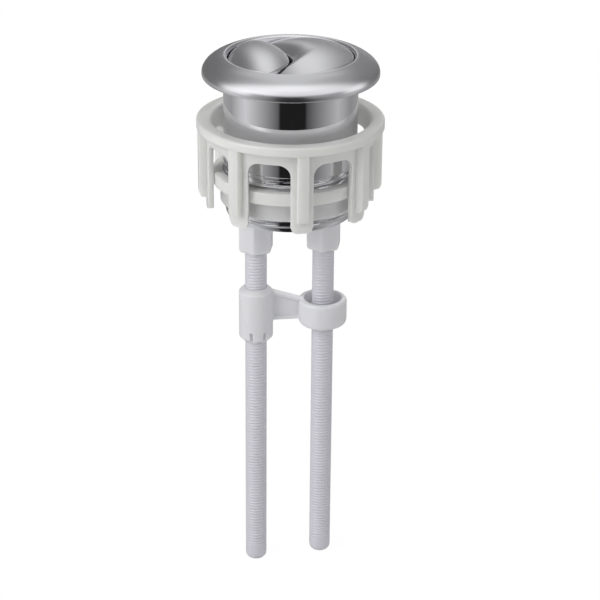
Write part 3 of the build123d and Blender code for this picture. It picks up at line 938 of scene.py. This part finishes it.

# %% [markdown]
# The return springs stand on the guide's floor and can't follow a button rigidly. Copies of the
# coils take their place and are carried by the housing.

# %% Springs
for name, node, joint in (
    ("small_coil", "small_spring", "small_press"),
    ("large_coil", "large_spring", "large_press"),
):
    coil = finished(cad_copy(node), name, "steel", "housing", node, smooth=60.0)
    low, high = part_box(node)
    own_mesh(coil)

# %% [markdown]
# The object stands on its rod tips in a white studio. The floor is a plain pale plane. What the
# camera and the metal see of floor and world is white, and the light that falls on the object
# stays at a plain level.

# %% Floor and world
WHITE = (1.0, 1.0, 1.0, 1.0)
PAPER = (0.9, 0.9, 0.9, 1.0)
FLOOR_GLOW = 1.03
FLOOR_GLOW_SHARE = 0.93
LIGHT_LEVEL = 0.38

floor_z = cad_box[0][2]
floor = begin(bpy.ops.mesh.primitive_plane_add, size=8.0, location=(0.0, 0.0, floor_z))
floor.name = "floor"


def seen_by_eye_or_metal(finish):
    """1 for what the camera sees, straight, mirrored or through something clear."""
    path = finish.tree.nodes.new("ShaderNodeLightPath")
    camera = Wire(finish, path.outputs["Is Camera Ray"])
    glossy = Wire(finish, path.outputs["Is Glossy Ray"])
    clear = Wire(finish, path.outputs["Is Transmission Ray"])
    return camera.math("MINIMUM", camera + glossy + clear, 1.0)


floor_finish = new_material("floor_paint")
paint = floor_finish.node("ShaderNodeBsdfDiffuse", {}, {"Color": PAPER})
glow = floor_finish.node("ShaderNodeEmission", {}, {"Color": WHITE, "Strength": FLOOR_GLOW})
seen = seen_by_eye_or_metal(floor_finish)
both = floor_finish.node("ShaderNodeMixShader", {}, {0: seen * FLOOR_GLOW_SHARE, 1: paint, 2: glow})
floor.data.materials.append(floor_finish.done(both))
floor.visible_glossy = False

world = bpy.data.worlds.new("studio")
bpy.context.scene.world = world
air = Finish(world)
strength = seen_by_eye_or_metal(air) * (1.0 - LIGHT_LEVEL) + LIGHT_LEVEL
background = air.node("ShaderNodeBackground", {}, {"Color": WHITE, "Strength": strength})
air.done(background, "ShaderNodeOutputWorld")
print("floor at", floor_z)

# %% [markdown]
# Polished metal shows its surroundings more than its own colour. The photograph's chrome mirrors a
# studio: a bright canopy over the front, bright soft panels left and right, a black flag low in
# front, a grey wall behind and a strip light on it. A light tent stands for them. It is a sphere
# round the object that only mirror rays meet, so the lamps shine through it and the camera doesn't
# see it. Each panel is a soft-edged patch in degrees round and above the object.

# %% Light tent
TENT_RADIUS = 0.45
tent = begin(
    bpy.ops.mesh.primitive_uv_sphere_add, segments=96, ring_count=48, radius=TENT_RADIUS
)
tent.name = "light_tent"
tent_finish = new_material("light_tent")
place = tent_finish.node("ShaderNodeTexCoord", output="Object")
east, north, height = (
    tent_finish.node("ShaderNodeSeparateXYZ", {}, {0: place}, output=axis) for axis in "XYZ"
)
climb = tent_finish.node("ShaderNodeMath", {"operation": "ARCSINE"}, {0: height / TENT_RADIUS})
around = east.math("ARCTAN2", east, 0 - north) * math.degrees(1.0)
above = climb * math.degrees(1.0)


def rising(angle, low, high):
    """0 below low degrees and 1 above high, smooth between."""
    return tent_finish.node(
        "ShaderNodeMapRange",
        {"interpolation_type": "SMOOTHSTEP"},
        {0: angle, 1: low, 2: high, 3: 0.0, 4: 1.0},
    )


def patch(left, right, low, high, soft):
    """Mask of a panel between two bearings and two elevations."""
    left_edge = rising(around, left - soft, left + soft)
    right_edge = 1 - rising(around, right - soft, right + soft)
    foot = rising(above, low - soft, low + soft)
    head = 1 - rising(above, high - soft, high + soft)
    return left_edge * right_edge * foot * head


from_front = abs(around + 5)
from_back = 180 - abs(around + 7)
front = 1 - rising(from_front, 72, 110)
strip = 1 - rising(from_back, 2, 19)
canopy = (1 - rising(from_front, 25, 100)) * rising(above, 42, 62)
back_panel = (1 - rising(from_back, 22, 42)) * rising(above, 36, 52)
TENT_GREY = 0.17
PANELS = [
    (0.62, rising(above, 28, 88)),
    (0.92, front * rising(above, 6, 28)),
    (0.30, strip * rising(above, 2, 14)),
    (0.90, strip * rising(above, 10, 30)),
    (0.66, back_panel),
    (1.15, canopy),
    (0.98, patch(-100, -58, -18, 24, 8)),
    (1.05, patch(60, 95, -14, 22, 8)),
    (0.22, patch(-56, 12, -30, 7, 5)),
    (0.30, patch(12, 60, -30, 7, 7)),
    (0.01, patch(-27, 12, -40, 9, 2)),
]
grey = TENT_GREY
for level, mask in PANELS:
    grey = grey + (level - grey) * mask

# Below the panels a ring of soft light goes round the tent: the wall behind, a panel on the left
# and one on the right that fade towards the front, and the black flag between them.
BACK_WALL = 0.4
FLAG = 0.015
LOW_RING = [
    (-180, BACK_WALL), (-125, 0.36), (-88, 0.72), (-28, 0.12), (-25, FLAG),
    (16, FLAG), (19, 0.08), (77, 0.52), (110, 0.3), (180, BACK_WALL),
]
low_stops = [((bearing + 180) / 360, (level, level, level, 1.0)) for bearing, level in LOW_RING]
low_ring = tent_finish.node("ShaderNodeValToRGB", {"stops": low_stops}, {0: around / 360 + 0.5})
low_value = tent_finish.node("ShaderNodeRGBToBW", {}, {0: low_ring})
grey = grey + (low_value - grey) * (1 - rising(above, -16, -6))
tent_light = tent_finish.node("ShaderNodeEmission", {}, {"Color": WHITE, "Strength": grey})
tent.data.materials.append(tent_finish.done(tent_light))
tent.visible_camera = False
tent.visible_diffuse = False
tent.visible_transmission = False
tent.visible_volume_scatter = False
tent.visible_shadow = False
print("tent of radius", TENT_RADIUS)

# %% [markdown]
# The photograph is lit by a large soft light from the left, a weaker one from the right, and the
# white paper behind, which shines through the milky plastic. Area lamps do the same here.

# %% Lamps
OBJECT_MIDDLE = Vector((0.0, 0.0, -0.08))


def softbox(name, place, size, watts):
    """Area lamp that looks at the object's middle."""
    lamp = bpy.data.lights.new(name, "AREA")
    lamp.shape = "RECTANGLE"
    lamp.size, lamp.size_y = size
    lamp.energy = watts
    holder = bpy.data.objects.new(name, lamp)
    bpy.context.scene.collection.objects.link(holder)
    holder.location = place
    holder.rotation_euler = (OBJECT_MIDDLE - Vector(place)).to_track_quat("-Z", "Y").to_euler()
    return holder


key_light = softbox("key_light", (-0.9, -0.5, 0.5), (0.6, 0.9), 6.8)
fill_light = softbox("fill_light", (0.9, -0.8, 0.3), (0.5, 0.8), 1.5)
back_light = softbox("back_light", (0.5, 0.9, 0.35), (0.6, 0.8), 3.5)
print("lamps", key_light.name, fill_light.name, back_light.name)

# %% [markdown]
# The camera repeats the photograph's. Its place, tilt and focal length were found by fitting the
# flange, the barrel, the rods and their link to the picture. It looks down by about 24 degrees,
# from a little to the left of the front.

# %% Camera
CAMERA_DISTANCE = 0.8359
CAMERA_HEIGHT = 0.2718
CAMERA_TURN = math.radians(8.05)
CAMERA_PITCH = math.radians(24.172)
CAMERA_ROLL = math.radians(0.365)
FOCAL_PIXELS = 2083.2
PHOTO_WIDTH = 600
SENSOR_MM = 36.0
SHIFT_PIXELS = 10.6

camera_data = bpy.data.cameras.new("camera")
camera_data.sensor_width = SENSOR_MM
camera_data.lens = FOCAL_PIXELS / PHOTO_WIDTH * SENSOR_MM
camera_data.shift_x = SHIFT_PIXELS / PHOTO_WIDTH
camera = bpy.data.objects.new("camera", camera_data)
bpy.context.scene.collection.objects.link(camera)
stand = Matrix.Translation((
    -CAMERA_DISTANCE * math.sin(CAMERA_TURN),
    -CAMERA_DISTANCE * math.cos(CAMERA_TURN),
    CAMERA_HEIGHT,
))
turn = Matrix.Rotation(-CAMERA_TURN, 4, "Z")
tilt = Matrix.Rotation(math.pi / 2 - CAMERA_PITCH, 4, "X")
roll = Matrix.Rotation(CAMERA_ROLL, 4, "Z")
camera.matrix_world = stand @ turn @ tilt @ roll
bpy.context.scene.camera = camera
bpy.context.scene.view_settings.view_transform = "Standard"
print("lens", round(camera_data.lens, 1))
